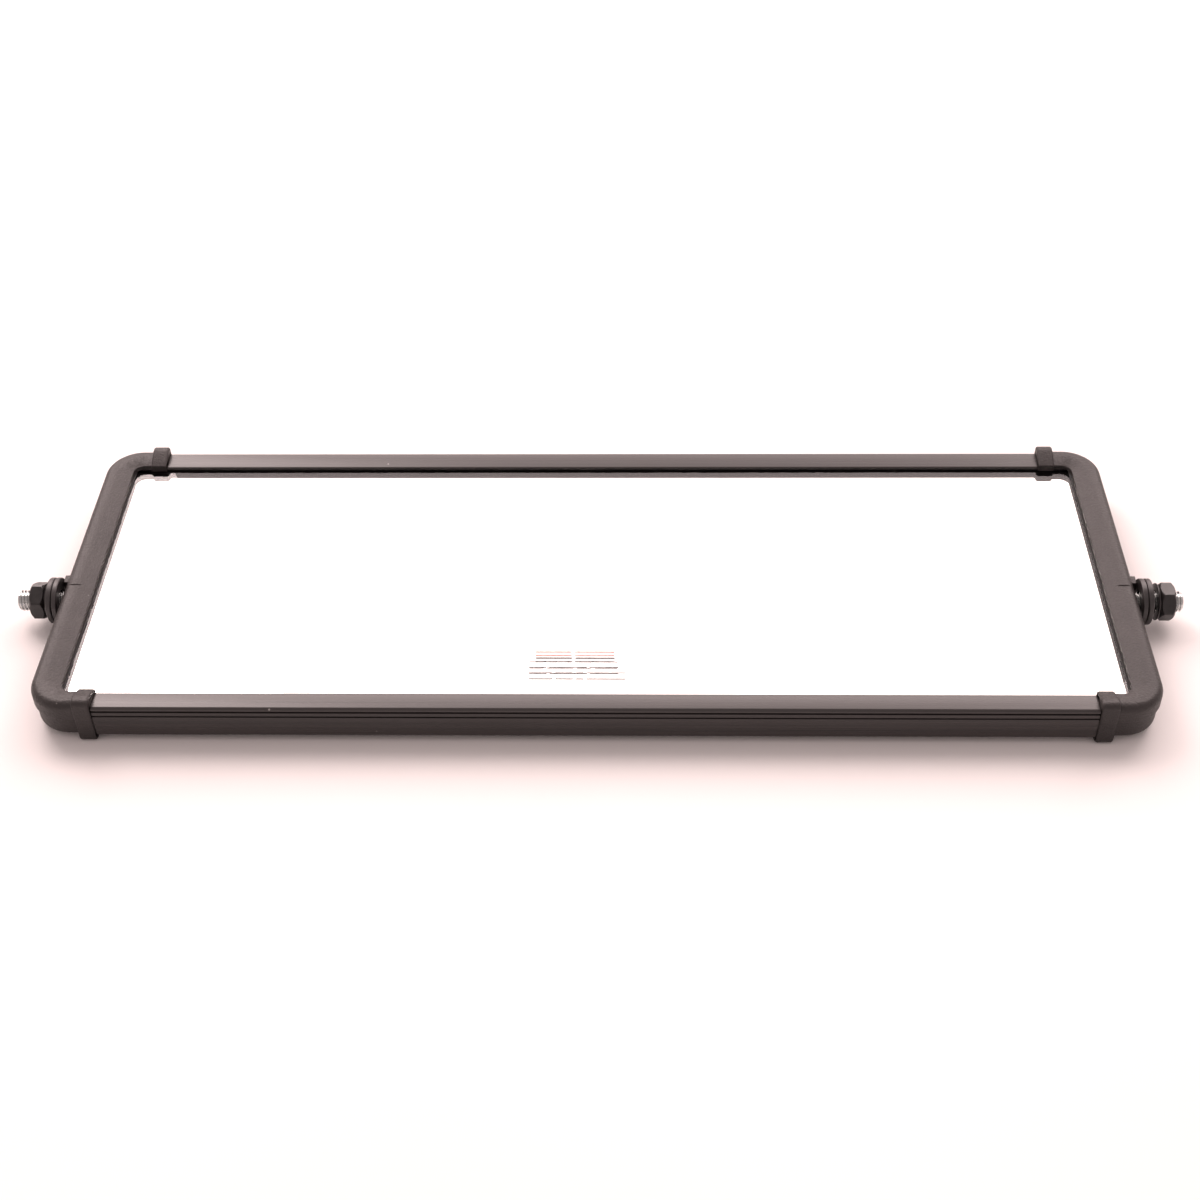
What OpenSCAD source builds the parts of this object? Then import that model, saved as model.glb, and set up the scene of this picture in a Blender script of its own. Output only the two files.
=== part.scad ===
// Flat vehicle mirror head: two extruded side rails, a two-shell moulded cap on each
// short end, glass on a foam pad, and a threaded stud at each end with washers and a
// nut that clamp it in a mirror bracket. It lies on its back on the four cap collars,
// glass up. X runs along the head, Y across it, and Z up through the glass.

/* [Head] */
// Length over the two end caps
head_l = 406.4; // [360:0.1:460]
// Width over the collars of the end caps
head_w = 152.4; // [140:0.1:180]
// Height of the top of the collars
collar_top = 19.6; // [19:0.1:21]
// Height of the front face of the glass above the collars' feet
glass_top = 14.0; // [13.8:0.1:14.2]
// Thickness of the glass
glass_t = 3.0; // [2.5:0.1:3.2]

/* [End caps] */
// Corner radius of the end caps in plan
cap_corner_r = 14.0; // [13.5:0.1:15]
// Height of the crown of the end caps
cap_top = 18.0; // [17.8:0.1:18.4]
// Height of the underside of the end caps
cap_bottom = 2.0; // [1.6:0.1:2.2]
// Height of the joint between the front and back shells
seam_z = 10.8; // [10.6:0.1:11]
// How far the front shell overhangs the back shell
seam_step = 0.8; // [0.4:0.1:0.9]
// Wall thickness of the shells
shell_wall = 1.8; // [1.6:0.1:1.9]
// Width of each collar along the rail
collar_w = 6.4; // [5.5:0.1:8]
// How far the collars stand out past the rails at the sides
collar_proud = 1.0; // [0.8:0.1:1.4]

/* [Rails] */
// Width of a rail from its outer face to its lip
rail_w = 9.0; // [8.8:0.1:9.2]
// Height of the underside of the rails
rail_bottom = 2.6; // [2.4:0.1:2.8]
// Height of the outer top edge of the rails
rail_top = 16.2; // [16:0.1:16.4]

/* [Studs and nuts] */
// Diameter of the studs (M8 thread)
stud_d = 8.0; // [7.8:0.1:8.2]
// How far the stud tips stand out past the end caps
stud_reach = 18.6; // [18:0.1:24]
// Offset of the stud line from the middle of the head, towards the lower rail
stud_offset = 10.2; // [0:0.1:20]
// Height of the stud line
stud_z = 10.0; // [9.8:0.1:10.2]
// Outer diameter of the two washers on each stud
washer_d = 17.6; // [16:0.1:18]
// Thickness of each washer
washer_t = 2.1; // [1.8:0.1:2.3]
// Width of the nuts across their flats
nut_af = 13.0; // [12.7:0.1:13.2]
// Height of the nuts without their captive washers
nut_h = 5.3; // [5:0.1:5.4]
// Gap between the loose right nut's washer and the washers on its stud
loose_gap = 2.0; // [1.9:0.1:2.1]

/* [Hidden] */
$fn = 64;
eps = 0.01;

// Half sizes of the head
half_l = head_l / 2;
half_w = head_w / 2;

// Rails: faces measured from the middle of the head
rail_out = half_w - collar_proud;
rail_lip = rail_out - rail_w;
rail_wall = 1.3;
pocket_d = 3.1;
pocket_y = rail_lip + pocket_d;
web_t = 1.1;
chamber_w = rail_out - rail_wall - pocket_y - web_t;
chamber_y = pocket_y + web_t;
chamber_z = [4.7, 14.9];
lip_under = glass_top + 0.5;
panel_z = 4.6;
panel_t = 1.0;
strip_gap = 0.1;

// End caps: centre of the outer corner arcs, and the opening round the glass
cap_out_y = rail_out + 0.2;
corner_x = half_l - cap_corner_r;
corner_y = cap_out_y - cap_corner_r;
opening_x = half_l - 11.2;
opening_y = rail_lip;
opening_r = 4.0;
opening_edge_z = 16.2;
opening_slope = 5.5;
cavity_u = 6.5;
cavity_z = [3.8, 15.9];
crown_r = 3.0;
base_r = 2.6;
pocket_x = corner_x + cavity_u;

// Collars, and the end of the rail inside them
collar_x = corner_x - 3.8 - collar_w;
collar_end = collar_x + collar_w;
rail_end = collar_end - 1.4;
collar_in = rail_lip - 0.7;
collar_r = 2.2;
tenon_l = 18;

// Glass package
glass_x = pocket_x - 0.7;
glass_y = pocket_y - 0.8;
strip_x = pocket_x - strip_gap;
strip_y = pocket_y - strip_gap;
strip_edge_x = opening_x - 0.7;

// Cap screws
screw_x = corner_x + 8.9;
screw_y = 56;
screw_r = 1.45;
boss_r = 2.4;
boss_z = 7.0;

// Stud hardware, measured out from the middle of the head
stud_head = [half_l - 7.3, half_l - 5.0];
stud_plate_t = 2.0;
stud_tip = half_l + stud_reach;
stud_step = stud_tip - 3.3;
lug_face = half_l + 2.0;
gap = 0.1;
inner_washer_x = lug_face + gap;
outer_washer_x = inner_washer_x + washer_t + gap;
nut_washer_x = outer_washer_x + washer_t + gap;
nut_washer_t = 1.3;
nut_rest_x = nut_washer_x + nut_washer_t + gap;

// Rectangle from corner to corner
module rect(low, high) {
    translate(low)
        square([high[0] - low[0], high[1] - low[1]]);
}

// What a radius r removes from a square corner that points to +X and +Y at p
module corner_waste(p, r) {
    translate([p[0] - r, p[1] - r])
        difference() {
            square([r + 1, r + 1]);
            circle(r);
        }
}

// Profile swept round the U of the right-hand cap: its x is the distance outwards from
// the corner centre at [cx, cy], its y is height, and the arms run back to x_end
module u_sweep(cx, cy, x_end) {
    translate([cx, cy, 0])
        rotate([90, 0, 0])
            linear_extrude(2 * cy)
                children();
    for (side = [0, 1])
        mirror([0, side, 0]) {
            translate([cx, cy, 0])
                rotate_extrude(angle = 90)
                    children();
            translate([x_end, cy, 0])
                rotate([90, 0, 90])
                    linear_extrude(cx - x_end)
                        children();
        }
}

// Everything inside the opening round the glass, with the sloped edge of the crown
module opening_cut(low_z, high_z, sloped) {
    cx = opening_x - opening_r;
    cy = opening_y - opening_r;
    slope_end = [opening_r + opening_slope, cap_top];
    u_sweep(cx, cy, collar_end - eps) {
        if (sloped)
            polygon([[0, low_z], [opening_r, low_z], [opening_r, opening_edge_z],
                     slope_end, [slope_end[0], high_z], [0, high_z]]);
        else
            rect([0, low_z], [opening_r, high_z]);
    }
    translate([collar_end - eps, -cy - eps, low_z])
        cube([cx - collar_end + 2 * eps, 2 * cy + 2 * eps, high_z - low_z]);
}

// Cross-section of a rail at its +Y place, with y as x and height as y
module rail_profile() {
    bend_y = rail_lip + 4.8;
    edge_r = 1.2;
    line_z = [12.1, 14.4];
    line_w = [0.6, 0.8];
    line_d = 0.6;
    difference() {
        polygon([
            [rail_out, rail_bottom + 0.6], [rail_out, rail_top], [bend_y, rail_top],
            [rail_lip + 0.5, rail_top - 0.6], [rail_lip, rail_top - 0.9],
            [rail_lip, lip_under], [pocket_y, lip_under], [pocket_y, panel_z],
            [rail_lip, panel_z], [rail_lip, rail_bottom + 0.4],
            [rail_lip + 0.4, rail_bottom], [rail_out - 0.6, rail_bottom]
        ]);
        corner_waste([rail_out, rail_top], edge_r);
        for (k = [0, 1])
            rect([rail_out - line_d, line_z[k] - line_w[k] / 2],
                 [rail_out + 1, line_z[k] + line_w[k] / 2]);
        rect([chamber_y, chamber_z[0]], [chamber_y + chamber_w, chamber_z[1]]);
    }
}

// One rail, extruded along X, on the side of the head given by 0 (upper) or 1 (lower)
module rail(side) {
    mirror([0, side, 0])
        rotate([90, 0, 90])
            translate([0, 0, -rail_end])
                linear_extrude(2 * rail_end)
                    rail_profile();
}

// Block that a collar needs cleared to slip over the rail's end
module rail_socket() {
    clear = 0.1;
    translate([collar_x - eps, 0, 0])
        rotate([90, 0, 90])
            linear_extrude(rail_end - collar_x + eps + clear)
                rect([rail_lip - clear, rail_bottom - clear],
                     [rail_out + clear, rail_top + clear]);
}

// Front half of a collar, rounded at its outer edge and sloping down to the glass
module collar_front() {
    low = [collar_in, seam_z];
    high = [half_w, collar_top];
    inner_z = opening_edge_z + 0.5;
    difference() {
        translate([collar_x, 0, 0])
            rotate([90, 0, 90])
                linear_extrude(collar_w)
                    difference() {
                        rect(low, high);
                        corner_waste(high, collar_r);
                        polygon([[collar_in - 1, inner_z], [collar_in, inner_z],
                                 [rail_lip + opening_slope, collar_top],
                                 [rail_lip + opening_slope, collar_top + 1],
                                 [collar_in - 1, collar_top + 1]]);
                        rect([collar_in - 1, 0], [rail_lip, glass_top + 0.05]);
                        rect([rail_lip - eps, 0], [pocket_y, lip_under]);
                    }
        rail_socket();
    }
}

// Back half of a collar, with the foot that the head rests on
module collar_back() {
    inset = 0.3;
    outer = half_w - inset;
    difference() {
        translate([collar_x, 0, 0])
            rotate([90, 0, 90])
                linear_extrude(collar_w)
                    difference() {
                        rect([collar_in, 0], [outer, seam_z]);
                        mirror([0, 1])
                            corner_waste([outer, 0], collar_r);
                        rect([collar_in - 1, panel_z - 0.05], [pocket_y, seam_z + 1]);
                    }
        rail_socket();
    }
}

// Tenon of a shell, which plugs into the hollow of the rail between two heights
module tenon(low_z, high_z) {
    slack = 0.3;
    translate([rail_end - tenon_l, chamber_y + slack, low_z])
        cube([tenon_l + 1, chamber_w - 2 * slack, high_z - low_z]);
}

// Hole for the stud through the outer wall of a cap
module stud_hole() {
    translate([half_l - 4, -stud_offset, stud_z])
        rotate([0, 90, 0])
            cylinder(r = stud_d / 2 + 0.4, h = 6);
}

// Front shell of the right-hand cap
module cap_front() {
    lug = [2.8, 4.2, 4.4];
    tick = [4.2, 0.6, 0.3];
    difference() {
        union() {
            difference() {
                u_sweep(corner_x, corner_y, collar_end - eps)
                    difference() {
                        rect([0, seam_z], [cap_corner_r, cap_top]);
                        corner_waste([cap_corner_r, cap_top], crown_r);
                    }
                u_sweep(corner_x, corner_y, collar_end)
                    rect([cavity_u, seam_z - 1], [cap_corner_r - shell_wall, cavity_z[1]]);
                translate([0, -pocket_y, 0])
                    cube([pocket_x, 2 * pocket_y, lip_under]);
                opening_cut(0, cap_top + 1, true);
            }
            for (side = [0, 1])
                mirror([0, side, 0]) {
                    collar_front();
                    tenon(seam_z + 0.1, chamber_z[1] - 0.3);
                    translate([screw_x, screw_y, boss_z])
                        cylinder(r = boss_r, h = cavity_z[1] + 0.2 - boss_z);
                }
            translate([half_l - 0.8, -stud_offset + 4.6, seam_z])
                cube(lug);
        }
        for (side = [-1, 1])
            translate([screw_x, side * screw_y, boss_z - 1])
                cylinder(r = screw_r, h = 8.5);
        stud_hole();
        translate([half_l - 6.4, -stud_offset - tick[1] / 2, cap_top - tick[2]])
            cube(tick);
    }
}

// Back shell of the right-hand cap
module cap_back() {
    outer_u = cap_corner_r - seam_step;
    head_r = 2.8;
    difference() {
        union() {
            difference() {
                u_sweep(corner_x, corner_y, collar_end - eps)
                    difference() {
                        rect([0, cap_bottom], [outer_u, seam_z]);
                        mirror([0, 1])
                            corner_waste([outer_u, -cap_bottom], base_r);
                    }
                u_sweep(corner_x, corner_y, collar_end)
                    rect([cavity_u, cavity_z[0]], [outer_u - shell_wall, seam_z + 1]);
                translate([0, -pocket_y, panel_z])
                    cube([pocket_x, 2 * pocket_y, 10]);
                opening_cut(0, 12, false);
            }
            for (side = [0, 1])
                mirror([0, side, 0]) {
                    collar_back();
                    tenon(chamber_z[0] + 0.3, seam_z - 0.1);
                    translate([screw_x, screw_y, cap_bottom + 0.6])
                        cylinder(r = boss_r, h = boss_z - gap - cap_bottom - 0.6);
                }
        }
        for (side = [-1, 1])
            translate([screw_x, side * screw_y, 0]) {
                cylinder(r = screw_r + 0.15, h = 8);
                cylinder(r = head_r, h = cap_bottom + 1.2);
            }
        stud_hole();
    }
}

// Self-tapping pan-head screw, driven upwards from the back, with its cross recess
module cap_screw() {
    head_h = 1.1;
    translate([0, 0, cap_bottom + 0.1])
        difference() {
            union() {
                cylinder(r1 = 2.2, r2 = 2.65, h = head_h / 2);
                translate([0, 0, head_h / 2])
                    cylinder(r = 2.65, h = head_h / 2);
                translate([0, 0, head_h - eps])
                    cylinder(r = screw_r - 0.02, h = 10);
            }
            for (turn = [0, 90])
                rotate([0, 0, turn])
                    translate([-1.3, -0.3, -1])
                        cube([2.6, 0.6, 1.6]);
        }
}

module mirror_glass() {
    color([0.86, 0.89, 0.9])
        translate([-glass_x, -glass_y, glass_top - glass_t])
            cube([2 * glass_x, 2 * glass_y, glass_t]);
}

module foam_backing_pad() {
    low_z = panel_z + panel_t;
    color([0.16, 0.16, 0.17])
        translate([-opening_x, -rail_lip, low_z])
            cube([2 * opening_x, 2 * rail_lip, glass_top - glass_t - low_z]);
}

// Sheet-metal back with three long pressed ribs
module back_panel() {
    rib = [300, 9, 0.8];
    rib_pitch = 38;
    color([0.1, 0.1, 0.1]) {
        translate([-strip_x, -strip_y, panel_z])
            cube([2 * strip_x, 2 * strip_y, panel_t]);
        for (row = [-1, 0, 1])
            translate([0, row * rib_pitch, panel_z - rib[2]]) {
                translate([-rib[0] / 2, -rib[1] / 2, 0])
                    cube([rib[0], rib[1], rib[2] + eps]);
                for (tip = [-1, 1])
                    translate([tip * rib[0] / 2, 0, 0])
                        cylinder(r = rib[1] / 2, h = rib[2] + eps);
            }
    }
}

module lower_rail() {
    color([0.12, 0.11, 0.11])
        rail(1);
}

module upper_rail() {
    color([0.12, 0.11, 0.11])
        rail(0);
}

// Section of a rubber glazing strip: a block behind the glass and a thin leg over it.
// face is the glass edge, inner and over are where the block and the leg end
module strip_profile(inner, over, face, outer) {
    low_z = panel_z + panel_t;
    back_z = glass_top - glass_t;
    polygon([[inner, low_z], [outer, low_z], [outer, lip_under - 0.05],
             [over, lip_under - 0.05], [over, glass_top], [face, glass_top],
             [face, back_z], [inner, back_z]]);
}

module rail_strip(side) {
    length = strip_edge_x - 0.1;
    color([0.06, 0.06, 0.06])
        mirror([0, side, 0])
            rotate([90, 0, 90])
                translate([0, 0, -length])
                    linear_extrude(2 * length)
                        strip_profile(rail_lip + 0.1, rail_lip + 0.1, glass_y, strip_y);
}

module end_strip(side) {
    inner = opening_x + 0.1;
    color([0.06, 0.06, 0.06])
        mirror([side, 0, 0])
            translate([0, strip_y, 0])
                rotate([90, 0, 0])
                    linear_extrude(2 * strip_y)
                        strip_profile(inner, strip_edge_x, glass_x, strip_x);
}

module cap_screws() {
    color([0.75, 0.75, 0.72])
        for (x = [-screw_x, screw_x], y = [-screw_y, screw_y])
            translate([x, y, 0])
                cap_screw();
}

// Steel plate inside a cap that carries the stud
module stud_plate(side) {
    size = [stud_plate_t, 60, 11.8];
    color([0.7, 0.7, 0.68])
        mirror([side, 0, 0])
            difference() {
                translate([stud_head[1], -stud_offset - size[1] / 2, 3.95])
                    cube(size);
                translate([stud_head[1] - 1, -stud_offset, stud_z])
                    rotate([0, 90, 0])
                        cylinder(r = stud_d / 2 + 0.05, h = 4);
            }
}

// Stud along +X: a flat head inside the plate, the M8 shank, and the turned-down tip
module stud(side) {
    tip_r = stud_d / 2 - 0.2;
    lead = 0.9;
    color([0.85, 0.86, 0.88])
        mirror([side, 0, 0])
            translate([0, -stud_offset, stud_z])
                rotate([0, 90, 0]) {
                    translate([0, 0, stud_head[0]])
                        cylinder(r = 5.5, h = stud_head[1] - stud_head[0]);
                    translate([0, 0, stud_head[1] - eps])
                        cylinder(r = stud_d / 2, h = stud_step - stud_head[1] + eps);
                    translate([0, 0, stud_step - eps])
                        cylinder(r = tip_r, h = stud_tip - lead - stud_step + eps);
                    translate([0, 0, stud_tip - lead - eps])
                        cylinder(r1 = tip_r, r2 = tip_r - 0.8, h = lead + eps);
                }
}

// Ring along +X on the stud line: bore and outer radii, thickness, edge chamfer
module ring(x, bore_r, outer_r, thick, edge) {
    translate([x, -stud_offset, stud_z])
        rotate([0, 90, 0])
            rotate_extrude()
                polygon([[bore_r, 0], [outer_r - edge, 0], [outer_r, edge],
                         [outer_r, thick - edge], [outer_r - edge, thick],
                         [bore_r, thick]]);
}

module flat_washer(side, x) {
    color([0.2, 0.19, 0.19])
        mirror([side, 0, 0])
            ring(x, stud_d / 2 + 0.4, washer_d / 2, washer_t, 0.5);
}

// Cone-shaped lock washer held captive on a nut
module nut_washer(side, x) {
    color([0.16, 0.15, 0.15])
        mirror([side, 0, 0])
            translate([x, -stud_offset, stud_z])
                rotate([0, 90, 0])
                    rotate_extrude()
                        polygon([[stud_d / 2 + 0.4, 0], [7.1, 0], [7.1, 0.5],
                                 [6.3, nut_washer_t], [stud_d / 2 + 0.4, nut_washer_t]]);
}

// Hex nut along +X with both ends chamfered
module nut(side, x) {
    corner_r = nut_af / 2 / cos(30);
    chamfer = 0.75;
    cone_r = nut_af / 2 - 0.1;
    slope = (corner_r - cone_r) / chamfer;
    reach = corner_r + 0.1;
    run = (reach - cone_r) / slope;
    color([0.11, 0.1, 0.1])
        mirror([side, 0, 0])
            translate([x, -stud_offset, stud_z])
                rotate([0, 90, 0])
                    difference() {
                        intersection() {
                            rotate([0, 0, side ? 0 : 30])
                                cylinder(r = corner_r, h = nut_h, $fn = 6);
                            rotate_extrude()
                                polygon([[0, 0], [cone_r, 0], [reach, run],
                                         [reach, nut_h - run], [cone_r, nut_h], [0, nut_h]]);
                        }
                        translate([0, 0, -1])
                            cylinder(r = stud_d / 2 + 0.05, h = nut_h + 2);
                    }
}

module left_cap_front_shell() {
    color([0.2, 0.18, 0.18])
        mirror([1, 0, 0])
            cap_front();
}

module left_cap_back_shell() {
    color([0.18, 0.17, 0.16])
        mirror([1, 0, 0])
            cap_back();
}

module right_cap_front_shell() {
    color([0.2, 0.18, 0.18])
        cap_front();
}

module right_cap_back_shell() {
    color([0.18, 0.17, 0.16])
        cap_back();
}

mirror_glass();
foam_backing_pad();
back_panel();
lower_rail();
upper_rail();
rail_strip(1);  // lower_glazing_strip
rail_strip(0);  // upper_glazing_strip
end_strip(1);  // left_glazing_strip
end_strip(0);  // right_glazing_strip
left_cap_front_shell();
left_cap_back_shell();
right_cap_front_shell();
right_cap_back_shell();
cap_screws();
stud_plate(1);  // left_stud_plate
stud_plate(0);  // right_stud_plate
stud(1);  // left_stud
stud(0);  // right_stud
flat_washer(1, inner_washer_x);  // left_inner_washer
flat_washer(1, outer_washer_x);  // left_outer_washer
nut_washer(1, nut_washer_x);  // left_nut_washer
nut(1, nut_rest_x);  // left_nut
flat_washer(0, inner_washer_x);  // right_inner_washer
flat_washer(0, outer_washer_x);  // right_outer_washer
nut_washer(0, nut_washer_x + loose_gap - gap);  // right_nut_washer
nut(0, nut_rest_x + loose_gap - gap);  // right_nut
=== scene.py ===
"""Looks of a flat vehicle mirror head that lies on its back, glass up, on a white sweep."""

import math

import bmesh
import bpy
from mathutils import Matrix, Vector


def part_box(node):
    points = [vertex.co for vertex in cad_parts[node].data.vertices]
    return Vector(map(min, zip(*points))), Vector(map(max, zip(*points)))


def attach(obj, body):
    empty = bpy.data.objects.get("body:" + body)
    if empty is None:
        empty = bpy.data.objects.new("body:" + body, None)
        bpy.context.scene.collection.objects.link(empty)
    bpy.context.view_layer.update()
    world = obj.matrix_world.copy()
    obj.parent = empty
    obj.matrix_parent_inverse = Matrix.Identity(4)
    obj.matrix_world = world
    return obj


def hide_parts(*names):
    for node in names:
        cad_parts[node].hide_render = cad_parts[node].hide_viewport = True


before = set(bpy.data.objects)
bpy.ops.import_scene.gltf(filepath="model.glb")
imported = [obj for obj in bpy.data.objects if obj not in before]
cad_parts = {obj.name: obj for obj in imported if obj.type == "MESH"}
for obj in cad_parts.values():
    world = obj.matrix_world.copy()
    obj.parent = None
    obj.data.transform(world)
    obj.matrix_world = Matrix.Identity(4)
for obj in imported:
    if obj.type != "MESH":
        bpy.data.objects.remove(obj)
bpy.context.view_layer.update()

MM = 0.001
SIDES = {"left": -1, "right": 1}
THREAD_PITCH = 1.25 * MM
THREAD_MAJOR = 3.97 * MM
THREAD_MINOR = 3.27 * MM
COLLAR_ENDS = (179.0 * MM, 185.4 * MM)
WELD, FLAT, SHARP = 0.002 * MM, math.radians(0.6), math.radians(30)
PINKISH = (1.0, 0.84, 0.82)
HEAD_MIDDLE = (0, 0, 10 * MM)
SCREW_HEAD_R = 2.65 * MM


# ---------------------------------------------------------------- material building blocks


class Finish:
    """A principled material, with short ways to hang texture nodes on it."""

    def __init__(self, name, **constants):
        self.material = bpy.data.materials.new(name)
        self.material.use_nodes = True
        self.tree = self.material.node_tree
        self.shader = self.tree.nodes["Principled BSDF"]
        self.where = self.tree.nodes.new("ShaderNodeTexCoord").outputs["Object"]
        for name, value in constants.items():
            self.shader.inputs[name.replace("_", " ")].default_value = value

    def node(self, kind, links=(), **settings):
        """A node with its settings made and its inputs linked or set."""
        made = self.tree.nodes.new(kind)
        for name, value in settings.items():
            setattr(made, name, value)
        for socket, source in dict(links).items():
            if isinstance(source, bpy.types.NodeSocket):
                self.tree.links.new(source, made.inputs[socket])
            else:
                made.inputs[socket].default_value = source
        return made

    def stretched(self, x, y, z):
        """Object coordinates scaled along each axis."""
        return self.node("ShaderNodeMapping", {"Vector": self.where, "Scale": (x, y, z)}).outputs[0]

    def noise(self, feature, detail=3.0, points=None, roughness=0.55):
        """Noise whose blobs are about one feature across, in metres."""
        links = {"Vector": points or self.where, "Scale": 1 / feature,
                 "Detail": detail, "Roughness": roughness}
        return self.node("ShaderNodeTexNoise", links).outputs["Fac"]

    def cells(self, feature, output="Distance"):
        """Voronoi cells about one feature across, in metres."""
        links = {"Vector": self.where, "Scale": 1 / feature}
        return self.node("ShaderNodeTexVoronoi", links).outputs[output]

    def fade(self, factor, low, high, start=0.0, end=1.0):
        """The factor from low to high, mapped to start and end and clamped."""
        links = {"Value": factor, "From Min": low, "From Max": high, "To Min": start, "To Max": end}
        return self.node("ShaderNodeMapRange", links, clamp=True).outputs[0]

    def mixed(self, factor, first, second):
        """Colour that runs from first to second with the factor."""
        mix = self.node("ShaderNodeMix", {0: factor}, data_type="RGBA")
        for socket, colour in ((6, first), (7, second)):
            if isinstance(colour, bpy.types.NodeSocket):
                self.tree.links.new(colour, mix.inputs[socket])
            else:
                mix.inputs[socket].default_value = (*colour, 1)
        return mix.outputs[2]

    def bump(self, height, depth, under=None):
        """Normal for a height field of that depth, in metres, over another normal."""
        links = {"Height": height, "Distance": depth}
        if under:
            links["Normal"] = under
        return self.node("ShaderNodeBump", links).outputs[0]

    def set(self, **sources):
        """Links sources to the shader's sockets."""
        for name, source in sources.items():
            self.tree.links.new(source, self.shader.inputs[name.replace("_", " ")])
        return self.material


# ---------------------------------------------------------------- materials


def cap_plastic():
    """Black moulded plastic with a fine spark-eroded grain and a little dust."""
    f = Finish("cap_plastic", IOR=1.46)
    grain = f.noise(0.9 * MM, detail=4.0)
    pits = f.cells(0.7 * MM)
    mottle = f.noise(14 * MM)
    dust = f.fade(f.cells(9 * MM), 0.035, 0.02)
    tone = f.mixed(f.fade(mottle, 0.3, 0.7), (0.016, 0.0125, 0.012), (0.026, 0.021, 0.020))
    tone = f.mixed(f.fade(dust, 0, 1, 0, 0.35), tone, (0.30, 0.28, 0.27))
    relief = f.bump(pits, 0.06 * MM, f.bump(grain, 0.2 * MM))
    return f.set(Base_Color=tone, Roughness=f.fade(grain, 0.3, 0.7, 0.42, 0.56), Normal=relief)


def black_anodised_aluminium():
    """Black anodised extrusion: satin, with long draw lines and a few light specks."""
    f = Finish("black_anodised_aluminium", IOR=1.55)
    lines = f.noise(1.0, detail=4.0, points=f.stretched(4, 3300, 3300), roughness=0.7)
    bands = f.noise(1.0, detail=2.0, points=f.stretched(2, 700, 700))
    specks = f.fade(f.cells(16 * MM), 0.03, 0.018)
    tone = f.mixed(f.fade(bands, 0.3, 0.7), (0.012, 0.0095, 0.009), (0.026, 0.020, 0.019))
    tone = f.mixed(f.fade(specks, 0, 1, 0, 0.6), tone, (0.45, 0.42, 0.40))
    relief = f.bump(lines, 0.012 * MM)
    return f.set(Base_Color=tone, Roughness=f.fade(lines, 0.3, 0.7, 0.24, 0.36), Normal=relief)


def glazing_rubber():
    """Matte black rubber with a dusty bloom."""
    f = Finish("glazing_rubber", IOR=1.5)
    fine = f.noise(0.3 * MM)
    bloom = f.noise(5 * MM)
    tone = f.mixed(f.fade(bloom, 0.3, 0.75), (0.007, 0.006, 0.006), (0.018, 0.016, 0.016))
    return f.set(Base_Color=tone, Roughness=f.fade(bloom, 0.3, 0.7, 0.5, 0.68),
                 Normal=f.bump(fine, 0.03 * MM))


def black_oxide_steel(name, dark, light, rough, ior):
    """Blackened steel with patchy oxide, fine scratches and lightly worn blotches."""
    f = Finish(name, IOR=ior)
    patches = f.noise(2.6 * MM, detail=5.0)
    scratches = f.noise(1.0, detail=2.0, points=f.stretched(260, 2600, 900))
    tone = f.mixed(f.fade(patches, 0.35, 0.65), dark, light)
    relief = f.bump(scratches, 0.012 * MM, f.bump(f.noise(0.35 * MM), 0.02 * MM))
    return f.set(Base_Color=tone, Roughness=f.fade(patches, 0.3, 0.7, rough, rough + 0.14),
                 Normal=relief)


def zinc_steel():
    """Bright zinc plate with a faint blue and straw cast."""
    f = Finish("zinc_steel", Metallic=1.0)
    cast = f.noise(1.6 * MM, detail=4.0)
    tone = f.mixed(f.fade(cast, 0.3, 0.7), (0.46, 0.48, 0.49), (0.60, 0.61, 0.59))
    return f.set(Base_Color=tone, Roughness=f.fade(cast, 0.3, 0.7, 0.08, 0.18),
                 Normal=f.bump(f.noise(0.25 * MM), 0.006 * MM))


def clear_glass():
    """Float glass with a faint film of handling marks."""
    f = Finish("clear_glass", IOR=1.52, Transmission_Weight=1.0)
    film = f.noise(24 * MM, detail=4.0)
    tint = f.mixed(f.fade(film, 0.3, 0.7), (0.985, 0.995, 0.985), (0.995, 1.0, 0.995))
    return f.set(Base_Color=tint, Roughness=f.fade(film, 0.55, 0.8, 0.0, 0.012))


def silver_coat():
    """Silvering behind the glass, a touch duller in patches."""
    f = Finish("silver_coat", Metallic=1.0)
    film = f.noise(30 * MM)
    tone = f.mixed(f.fade(film, 0.3, 0.7), (0.93, 0.93, 0.92), (0.96, 0.955, 0.94))
    return f.set(Base_Color=tone, Roughness=f.fade(film, 0.4, 0.8, 0.004, 0.012))


def black_painted_steel():
    """Satin black paint on sheet steel, with orange peel."""
    f = Finish("black_painted_steel", IOR=1.5)
    peel = f.noise(1.4 * MM, detail=1.0)
    tone = f.mixed(f.fade(f.noise(20 * MM), 0.3, 0.7), (0.010, 0.010, 0.010), (0.020, 0.019, 0.018))
    return f.set(Base_Color=tone, Roughness=f.fade(peel, 0.3, 0.7, 0.32, 0.44),
                 Normal=f.bump(peel, 0.03 * MM))


def black_foam():
    """Closed-cell foam: small round cells over soft waves."""
    f = Finish("black_foam", IOR=1.4)
    cell = f.cells(0.9 * MM)
    tone = f.mixed(f.fade(cell, 0.1, 0.7), (0.05, 0.05, 0.052), (0.012, 0.012, 0.013))
    return f.set(Base_Color=tone, Roughness=f.fade(cell, 0.0, 0.8, 0.75, 0.95),
                 Normal=f.bump(cell, 0.25 * MM))


def print_ink(name, full, faded):
    """Screen-printed ink, worn thin in places."""
    f = Finish(name, IOR=1.45)
    wear = f.noise(0.8 * MM, detail=4.0)
    tone = f.mixed(f.fade(wear, 0.4, 0.75), full, faded)
    return f.set(Base_Color=tone, Roughness=f.fade(wear, 0.3, 0.7, 0.5, 0.7))


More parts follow.
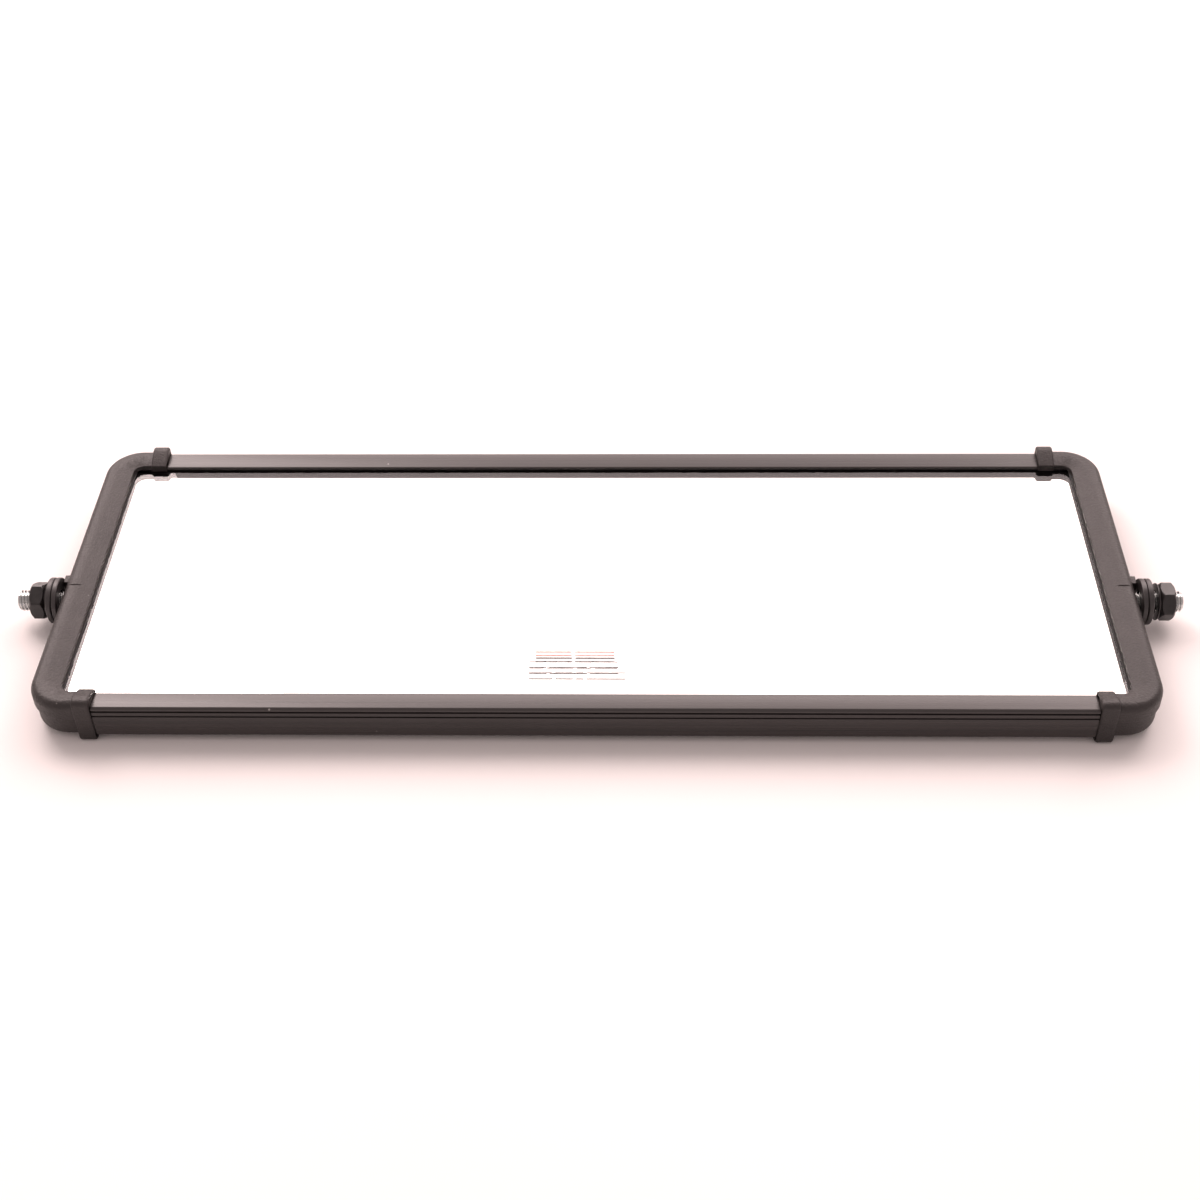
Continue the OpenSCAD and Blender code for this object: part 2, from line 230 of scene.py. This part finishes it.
def sweep_paper():
    """Matte white paper of the sweep."""
    f = Finish("sweep_paper", IOR=1.3)
    fibre = f.noise(2 * MM)
    tone = f.mixed(f.fade(f.noise(0.4), 0.3, 0.7), (0.80, 0.775, 0.765), (0.83, 0.81, 0.80))
    return f.set(Base_Color=tone, Roughness=f.fade(fibre, 0.3, 0.7, 0.85, 0.95),
                 Normal=f.bump(fibre, 0.02 * MM))


PLASTIC = cap_plastic()
ANODISED = black_anodised_aluminium()
RUBBER = glazing_rubber()
NUT_STEEL = black_oxide_steel("nut_steel", (0.004, 0.003, 0.003), (0.012, 0.010, 0.010), 0.28, 1.5)
WASHER_STEEL = black_oxide_steel("washer_steel", (0.010, 0.008, 0.008), (0.022, 0.018, 0.018),
                                 0.36, 1.6)
ZINC = zinc_steel()


# ---------------------------------------------------------------- mesh building blocks


def piece(name, mesh, body, finish, slot, *nodes):
    """A named object that rides on a body, takes a finish and stands for CAD nodes."""
    made = bpy.data.objects.new(name, mesh)
    bpy.context.scene.collection.objects.link(made)
    made.data.materials.clear()
    made.data.materials.append(finish)
    flatten = made.modifiers.new("flatten", "WEIGHTED_NORMAL")
    flatten.keep_sharp = True
    flatten.weight = 100
    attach(made, body)
    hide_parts(*nodes)
    return made


def from_bmesh(name, shape, smooth_angle=32):
    """A mesh with outward normals, smooth across edges flatter than the angle."""
    bmesh.ops.recalc_face_normals(shape, faces=shape.faces)
    mesh = bpy.data.meshes.new(name)
    shape.to_mesh(mesh)
    shape.free()
    mesh.shade_smooth()
    mesh.set_sharp_from_angle(angle=math.radians(smooth_angle))
    return mesh


def refined(node, radius, segments=3, wanted=lambda edge: True, more=()):
    """A CAD node's own shape with its convex sharp edges rounded. The wanted edges get the
    radius; each pair in more is a larger radius and the test for its edges, done first."""
    shape = bmesh.new()
    shape.from_mesh(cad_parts[node].data)
    bmesh.ops.remove_doubles(shape, verts=shape.verts, dist=WELD)
    bmesh.ops.dissolve_limit(shape, angle_limit=FLAT, verts=shape.verts, edges=shape.edges)
    for width, test in (*more, (radius, wanted)):
        sharp = [
            e for e in shape.edges
            if len(e.link_faces) == 2 and e.is_convex
            and e.calc_face_angle() > SHARP and test(e)
        ]
        bmesh.ops.bevel(shape, geom=sharp, offset=width, offset_type="OFFSET",
                        segments=segments, profile=0.5, affect="EDGES", clamp_overlap=False)
    return from_bmesh(node + "_mesh", shape)


def quads(shape, rows):
    """Joins each row of points to the next in quads."""
    for near, far in zip(rows, rows[1:]):
        for i in range(len(near) - 1):
            shape.faces.new((near[i], near[i + 1], far[i + 1], far[i]))


def ring_grid(rings, close_rows):
    """Bmesh of rings of points joined in quads, each ring closed on itself."""
    shape = bmesh.new()
    rows = [[shape.verts.new(p) for p in ring] for ring in rings]
    count = len(rows[0])
    pairs = list(zip(rows, rows[1:])) + ([(rows[-1], rows[0])] if close_rows else [])
    for near, far in pairs:
        for i in range(count):
            k = (i + 1) % count
            shape.faces.new((near[i], near[k], far[k], far[i]))
    if not close_rows:
        shape.faces.new(rows[0])
        shape.faces.new(rows[-1])
    return shape


def around_stud(side, stations, sides, close_rows):
    """Rings about a stud's line. Each station is its distance out along X and its radius
    as a function of the angle, which runs from +Z and turns right-handed about the way out."""
    low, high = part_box(side + "_stud")
    middle = (low + high) / 2
    out = SIDES[side]
    rings = []
    for x, radius in stations:
        ring = []
        for i in range(sides):
            turn = 2 * math.pi * i / sides
            r = radius(turn)
            y = -r * math.sin(turn) * out
            ring.append((out * x, middle.y + y, middle.z + r * math.cos(turn)))
        rings.append(ring)
    return ring_grid(rings, close_rows)


def reach(node):
    """A node's near and far distance from the middle of the head along X."""
    low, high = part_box(node)
    return min(abs(low.x), abs(high.x)), max(abs(low.x), abs(high.x))


def steady(radius):
    """The same radius at every angle."""
    return lambda turn: radius


def thread(x, turn, clearance=0.0):
    """Radius of a right-hand thread at a distance and an angle."""
    phase = (x / THREAD_PITCH - turn / (2 * math.pi)) % 1.0
    slope = abs(phase - 0.5) * 2
    depth = min(max((slope - 0.125) / 0.625, 0.0), 1.0)
    return THREAD_MAJOR - (THREAD_MAJOR - THREAD_MINOR) * depth + clearance


def arc(centre, radius, start, end, steps):
    """Points of an arc, with its angles in degrees."""
    turns = [math.radians(start + (end - start) * k / steps) for k in range(steps + 1)]
    return [(centre[0] + radius * math.cos(t), centre[1] + radius * math.sin(t)) for t in turns]


# ---------------------------------------------------------------- glass and what is behind it


def slab(low, high, arris):
    """Bmesh of a flat slab with ground edges."""
    shape = bmesh.new()
    size = Vector(high) - Vector(low)
    place = Matrix.Translation((Vector(low) + Vector(high)) / 2) @ Matrix.Diagonal((*size, 1))
    bmesh.ops.create_cube(shape, size=1, matrix=place)
    bmesh.ops.bevel(shape, geom=shape.edges[:], offset=arris, offset_type="OFFSET", segments=2,
                    profile=0.5, affect="EDGES", clamp_overlap=True)
    return shape


def make_glass():
    low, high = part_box("mirror_glass")
    coat = 0.06 * MM
    clear = slab((low.x, low.y, low.z + coat + 0.01 * MM), high, 0.35 * MM)
    silver = slab(low, (high.x, high.y, low.z + coat), 0.01 * MM)
    piece("glass_sheet", from_bmesh("glass_sheet", clear), "head", clear_glass(),
          "mirror_glass", "mirror_glass")
    piece("silvering", from_bmesh("silvering", silver), "head", silver_coat(),
          "mirror_glass", "mirror_glass")


def make_foam():
    """Foam sheet with soft waves in its faces and rounded edges."""
    low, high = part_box("foam_backing_pad")
    cells_x, cells_y = 96, 34
    shape = bmesh.new()
    wave = 0.12 * MM
    sheets = []
    for level, sign in ((low.z, 1), (high.z, -1)):
        rows = []
        for j in range(cells_y + 1):
            row = []
            for i in range(cells_x + 1):
                u, v = i / cells_x, j / cells_y
                edge = min(i, cells_x - i, j, cells_y - j) / 2
                crown = 1 - math.sqrt(1 - (1 - min(edge, 1)) ** 2)
                ripple = 0.5 + 0.5 * math.sin(37 * u + 3 * math.sin(9 * v)) * math.cos(17 * v)
                z = level + sign * (wave * ripple + 0.9 * MM * crown)
                row.append(shape.verts.new((low.x + (high.x - low.x) * u,
                                            low.y + (high.y - low.y) * v, z)))
            rows.append(row)
        quads(shape, rows)
        sheets.append(rows)

    def rim(rows):
        return (rows[0] + [r[-1] for r in rows[1:]] + rows[-1][-2::-1]
                + [r[0] for r in rows[-2:0:-1]])

    lower, upper = rim(sheets[0]), rim(sheets[1])
    for i in range(len(lower)):
        k = (i + 1) % len(lower)
        shape.faces.new((lower[i], lower[k], upper[k], upper[i]))
    pad = piece("foam_sheet", from_bmesh("foam_sheet", shape, 60), "head", black_foam(),
                "black_foam", "foam_backing_pad")


def make_back_panel():
    """Sheet-metal back whose ribs are pressed in with soft shoulders."""
    low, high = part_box("back_panel")
    thick = 1.0 * MM
    rib_depth = high.z - thick - low.z
    rib_pitch, rib_half_l, rib_half_w, shoulder = 38 * MM, 154.5 * MM, 4.5 * MM, 2.4 * MM

    def pressed(x, y):
        across = min(abs(y - row * rib_pitch) for row in (-1, 0, 1))
        along = max(abs(x) - (rib_half_l - rib_half_w), 0.0)
        inside = rib_half_w - math.hypot(across, along)
        share = min(max(inside / shoulder, 0.0), 1.0)
        return rib_depth * share * share * (3 - 2 * share)

    step = 0.8 * MM
    ys = [low.y + (high.y - low.y) * j / 170 for j in range(171)]
    xs = ([low.x + (-rib_half_l - step - low.x) * i / 10 for i in range(10)]
          + [-rib_half_l - step + (rib_half_w + 3 * step) * i / 9 for i in range(9)])
    xs = xs + [xs[-1] + (-2 * xs[-1]) * i / 30 for i in range(1, 30)] + [-x for x in reversed(xs)]
    shape = bmesh.new()
    sheets = []
    for level in (high.z - thick, high.z):
        rows = [[shape.verts.new((x, y, level - pressed(x, y))) for x in xs] for y in ys]
        quads(shape, rows)
        sheets.append(rows)
    lower, upper = sheets
    for edge in ((lower[0], upper[0]), (lower[-1], upper[-1]),
                 ([r[0] for r in lower], [r[0] for r in upper]),
                 ([r[-1] for r in lower], [r[-1] for r in upper])):
        quads(shape, edge)
    piece("back_sheet", from_bmesh("back_sheet", shape, 50), "head", black_painted_steel(),
          "black_painted_steel", "back_panel")


# ---------------------------------------------------------------- frame


def collar_rim(edge):
    """Whether an edge runs round an end of a collar, where it stands out past the rail."""
    rail_low, rail_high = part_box("upper_rail")
    a, b = (v.co for v in edge.verts)
    near = 0.05 * MM
    at_end = any(abs(abs(a.x) - x) < near and abs(abs(b.x) - x) < near for x in COLLAR_ENDS)
    return at_end and all(
        abs(p.y) > rail_high.y + 0.4 * MM or p.z > rail_high.z + 0.3 * MM
        or p.z < rail_low.z - 0.3 * MM for p in (a, b))


def make_frame():
    for name in ("lower_rail", "upper_rail"):
        along = lambda e: abs(e.verts[0].co.x - e.verts[1].co.x) > 50 * MM
        piece(name + "_extrusion", refined(name, 0.18 * MM, 3, along), "head", ANODISED,
              "black_anodised_aluminium", name)
    for name in ("lower", "upper", "left", "right"):
        piece(name + "_strip", refined(name + "_glazing_strip", 0.12 * MM, 2), "head", RUBBER,
              "glazing_rubber", name + "_glazing_strip")
    for side in SIDES:
        for half in ("front", "back"):
            name = f"{side}_cap_{half}_shell"
            shell = refined(name, 0.3 * MM, more=[(0.8 * MM, collar_rim)])
            piece(f"{side}_cap_{half}", shell, "head", PLASTIC, "cap_plastic", name)
        piece(side + "_plate", refined(side + "_stud_plate", 0.3 * MM, 2), "head", ZINC,
              "zinc_steel", side + "_stud_plate")


# ---------------------------------------------------------------- stud hardware


def make_stud(side):
    """Round head inside the cap, plain neck and a helical thread with a chamfered tip."""
    near, far = reach(side + "_stud")
    plate = reach(side + "_stud_plate")
    neck = plate[1] + 0.6 * MM
    head_r, head_edge, tip_r, lead = 5.4 * MM, 0.3 * MM, 3.05 * MM, 0.95 * MM
    stations = [(near, steady(head_r - head_edge)), (near + head_edge, steady(head_r)),
                (plate[0] - head_edge, steady(head_r)), (plate[0], steady(head_r - head_edge)),
                (plate[0], steady(THREAD_MINOR)), (neck, steady(THREAD_MINOR))]
    rings_per_pitch = 20
    count = int((far - neck) / THREAD_PITCH * rings_per_pitch)
    for k in range(1, count + 1):
        x = neck + (far - neck) * k / count
        fade_in = THREAD_MINOR + (x - neck) * 0.6
        chamfer = tip_r + (far - x) * (THREAD_MAJOR - tip_r) / lead
        stations.append((x, lambda turn, x=x, limit=min(fade_in, chamfer):
                         min(thread(x, turn), limit)))
    stations.append((far, steady(tip_r - 0.25 * MM)))
    shape = around_stud(side, stations, 64, False)
    piece(side + "_threaded_stud", from_bmesh(side + "_threaded_stud", shape, 40), "head",
          ZINC, "zinc_steel", side + "_stud")


def make_washer(side, name, finish):
    """Thick flat washer with rolled edges and a slightly hollow face."""
    node = f"{side}_{name}_washer"
    near, far = reach(node)
    low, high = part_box(node)
    outer, bore, edge = (high.z - low.z) / 2, 4.4 * MM, 0.55 * MM
    hollow = 0.12 * MM
    outline = [(near + 0.1 * MM, bore), (near + hollow, bore + 1.6 * MM),
               (near + hollow, outer - 2.2 * MM), (near, outer - 1.7 * MM)]
    outline += [(p[1], p[0]) for p in arc((outer - edge, near + edge), edge, -90, 0, 5)]
    outline += [(p[1], p[0]) for p in arc((outer - edge, far - edge), edge, 0, 90, 5)]
    outline += [(far, outer - 1.7 * MM), (far - hollow, outer - 2.2 * MM),
                (far - hollow, bore + 1.6 * MM), (far - 0.1 * MM, bore)]
    stations = [(x, steady(r)) for x, r in outline]
    shape = around_stud(side, stations, 96, True)
    piece(f"{side}_{name}_ring", from_bmesh(node, shape, 40), node, finish,
          "black_oxide_steel", node)


def make_nut_washer(side):
    """Conical washer held captive on the nut."""
    node = side + "_nut_washer"
    near, far = reach(node)
    low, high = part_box(node)
    outer, bore = (high.z - low.z) / 2, 4.4 * MM
    stations = [(near, steady(bore)), (near, steady(outer - 0.3 * MM)),
                (near + 0.12 * MM, steady(outer - 0.08 * MM)), (near + 0.3 * MM, steady(outer)),
                (near + 0.5 * MM, steady(outer - 0.06 * MM)),
                (far - 0.12 * MM, steady(outer - 0.78 * MM)), (far, steady(outer - 0.95 * MM)),
                (far, steady(bore))]
    shape = around_stud(side, stations, 96, True)
    piece(side + "_captive_washer", from_bmesh(node, shape, 40), node, NUT_STEEL,
          "black_oxide_steel", node)


def make_nut(side, corner_turn):
    """Hex nut, chamfered at both ends, with a countersunk thread that fits the stud."""
    node = side + "_nut"
    near, far = reach(node)
    flat_r, corner_trim, cone_r, chamfer = 6.5 * MM, 0.18 * MM, 6.35 * MM, 0.85 * MM
    corner_r = flat_r / math.cos(math.radians(30)) - corner_trim
    countersink = 4.3 * MM

    def hexagon(turn):
        share = (math.degrees(turn) - corner_turn) % 60 - 30
        return min(flat_r / math.cos(math.radians(share)), corner_r)

    def cut(distance):
        limit = cone_r + distance * (corner_r - cone_r) / chamfer
        return lambda turn: min(hexagon(turn), limit)

    steps = 10
    rise = [chamfer * k / steps for k in range(steps + 1)]
    stations = [(near, steady(countersink))]
    stations += [(near + d, cut(d)) for d in rise]
    stations += [(far - d, cut(d)) for d in reversed(rise)]
    stations.append((far, steady(countersink)))
    inner_near, inner_far = near + 0.55 * MM, far - 0.55 * MM
    count = int((inner_far - inner_near) / THREAD_PITCH * 16)
    for k in range(count + 1):
        x = inner_far - (inner_far - inner_near) * k / count
        stations.append((x, lambda turn, x=x: thread(x, turn, 0.08 * MM)))
    shape = around_stud(side, stations, 144, True)
    piece(side + "_hex_nut", from_bmesh(node, shape, 28), node, NUT_STEEL,
          "black_oxide_steel", node)


def screw_profile(low_z, high_z):
    """Heights and radii of a screw from the middle of its head to its point."""
    head_h, head_r, shank_r = 1.1 * MM, SCREW_HEAD_R, 1.43 * MM
    steps_per_turn, valley = 8, (3, 4, 5)
    dome = [(low_z + head_h * (1 - math.sin(math.radians(a))),
             0.25 * head_r + 0.75 * head_r * math.cos(math.radians(a)))
            for a in (90, 72, 54, 36, 20, 8)]
    profile = dome + [(low_z + head_h, head_r), (low_z + head_h, shank_r)]
    steps = int((high_z - low_z - head_h) / (1.1 * MM) * steps_per_turn)
    for k in range(1, steps):
        z = low_z + head_h + (high_z - low_z - head_h) * k / steps
        profile.append((z, shank_r * (1 - 0.16 * (k % steps_per_turn in valley))))
    return profile + [(high_z, 0.5 * MM)]


def make_screws():
    """Pan-head self-tapping screws with a cross recess, one in each corner of the back."""
    shape = bmesh.new()
    low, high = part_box("cap_screws")
    at_x, at_y = high.x - SCREW_HEAD_R, high.y - SCREW_HEAD_R
    sides = 40
    turns = [2 * math.pi * i / sides for i in range(sides)]

    def ring(sx, sy, z, radius):
        return [shape.verts.new((sx * at_x + radius(t) * math.cos(t),
                                 sy * at_y + radius(t) * math.sin(t), z)) for t in turns]

    def cross(scale):
        return lambda t: max(abs(math.cos(2 * t)) ** 8 * 1.3 * MM, 0.36 * MM) * scale

    for sx in (-1, 1):
        for sy in (-1, 1):
            outside = [ring(sx, sy, z, steady(r)) for z, r in screw_profile(low.z, high.z)]
            rim = ring(sx, sy, low.z, cross(1.0))
            floor = ring(sx, sy, low.z + 0.55 * MM, cross(0.7))
            rows = [floor, rim] + outside
            for near, far in zip(rows, rows[1:]):
                for i in range(sides):
                    k = (i + 1) % sides
                    shape.faces.new((near[i], near[k], far[k], far[i]))
            shape.faces.new(rows[0])
            shape.faces.new(rows[-1])
    piece("back_screws", from_bmesh("back_screws", shape, 35), "head", ZINC, "zinc_steel",
          "cap_screws")


def make_label():
    """A small printed patch on the glass: thin plain bars spaced like words, no letters."""
    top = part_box("mirror_glass")[1].z
    thick = 0.03 * MM
    red = print_ink("red_ink", (0.80, 0.22, 0.19), (0.92, 0.55, 0.50))
    grey = print_ink("grey_ink", (0.12, 0.11, 0.11), (0.50, 0.48, 0.47))
    # Left end, middle, height and bar lengths of each line, in millimetres
    lines = {
        red: [(-21.5, -43.0, 0.9, (13.4, 14.6)), (-21.5, -44.9, 0.9, (13.4, 14.6))],
        grey: [(-23.6, -48.3, 0.7, (5.2, 9.8, 5.6, 8.4)), (-23.6, -51.1, 0.7, (6.4, 13.6, 10.4)),
               (-23.6, -54.0, 0.7, (8.6, 6.4, 2.8, 14.2))],
    }
    space = 1.1 * MM
    for ink, rows in lines.items():
        shape = bmesh.new()
        for start, middle, height, lengths in rows:
            left = start * MM
            for length in lengths:
                right = left + length * MM
                bar = slab((left, (middle - height / 2) * MM, top),
                           (right, (middle + height / 2) * MM, top + thick), 0.012 * MM)
                mesh = bpy.data.meshes.new("bar")
                bar.to_mesh(mesh)
                bar.free()
                shape.from_mesh(mesh)
                bpy.data.meshes.remove(mesh)
                left = right + space
        name = ink.name + "_bars"
        made = bpy.data.objects.new(name, from_bmesh(name, shape))
        bpy.context.scene.collection.objects.link(made)
        made.data.materials.append(ink)
        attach(made, "head")


# ---------------------------------------------------------------- studio


def make_floor():
    """Paper sweep: flat under the head, curving up far behind it."""
    shape = bmesh.new()
    half = 4.0
    flat_end, curve_r = 2.2, 1.2
    line = [(-4.0, 0.0), (0.0, 0.0), (flat_end, 0.0)]
    line += [(flat_end + curve_r * math.sin(t), curve_r * (1 - math.cos(t)))
             for t in (math.radians(a) for a in range(6, 85, 6))]
    rows = [[shape.verts.new((x, y, z)) for x in (-half, 0, half)] for y, z in line]
    quads(shape, rows)
    floor = bpy.data.objects.new("sweep", from_bmesh("sweep", shape, 60))
    bpy.context.scene.collection.objects.link(floor)
    floor.data.materials.append(sweep_paper())


def softbox(name, place, size, radiance):
    """Rectangular area light that faces the head, with its radiance given."""
    data = bpy.data.lights.new(name, "AREA")
    data.shape = "RECTANGLE"
    data.size, data.size_y = size
    data.energy = radiance * math.pi * size[0] * size[1]
    data.color = PINKISH
    lamp = bpy.data.objects.new(name, data)
    bpy.context.scene.collection.objects.link(lamp)
    lamp.location = place
    aim = Vector(HEAD_MIDDLE) - Vector(place)
    lamp.rotation_euler = aim.to_track_quat("-Z", "Y").to_euler()


def make_lights():
    """A pinkish studio: a broad softbox behind, with brighter ones low behind it and to its
    left and right, and dim fill in front, so that surfaces that face the camera stay dark."""
    world = bpy.data.worlds.new("studio")
    bpy.context.scene.world = world
    world.use_nodes = True
    background = world.node_tree.nodes["Background"]
    background.inputs["Color"].default_value = (*PINKISH, 1)
    background.inputs["Strength"].default_value = 0.7
    softbox("back_softbox", (0, 1.3, 1.3), (3.2, 2.0), 2.1)
    softbox("low_softbox", (0, 1.6, 0.88), (3.4, 0.3), 3.0)
    softbox("left_softbox", (-0.65, 0.83, 1.06), (0.6, 0.8), 6.5)
    softbox("right_softbox", (0.8, 0.9, 1.0), (0.5, 0.8), 4.0)


def make_camera():
    """Camera that sees the head as it was photographed, from in front and above."""
    data = bpy.data.cameras.new("camera")
    data.lens = 55.4
    data.sensor_width = 36
    data.clip_start = 0.01
    camera = bpy.data.objects.new("camera", data)
    bpy.context.scene.collection.objects.link(camera)
    heading, down, roll = math.radians(1.964), math.radians(41.589), math.radians(-1.239)
    turn = (Matrix.Rotation(heading, 4, "Z") @ Matrix.Rotation(math.pi / 2 - down, 4, "X")
            @ Matrix.Rotation(roll, 4, "Z"))
    camera.matrix_world = Matrix.Translation((0.019549, -0.537284, 0.478552)) @ turn
    bpy.context.scene.camera = camera


def make_hardware():
    for side, corner_turn in (("left", 0), ("right", 30)):
        make_stud(side)
        make_washer(side, "inner", WASHER_STEEL)
        make_washer(side, "outer", WASHER_STEEL)
        make_nut_washer(side)
        make_nut(side, corner_turn)
    make_screws()


make_glass()
make_foam()
make_back_panel()
make_frame()
make_hardware()
make_label()
make_floor()
make_lights()
make_camera()
bpy.context.scene.view_settings.view_transform = "Standard"
bpy.context.view_layer.update()
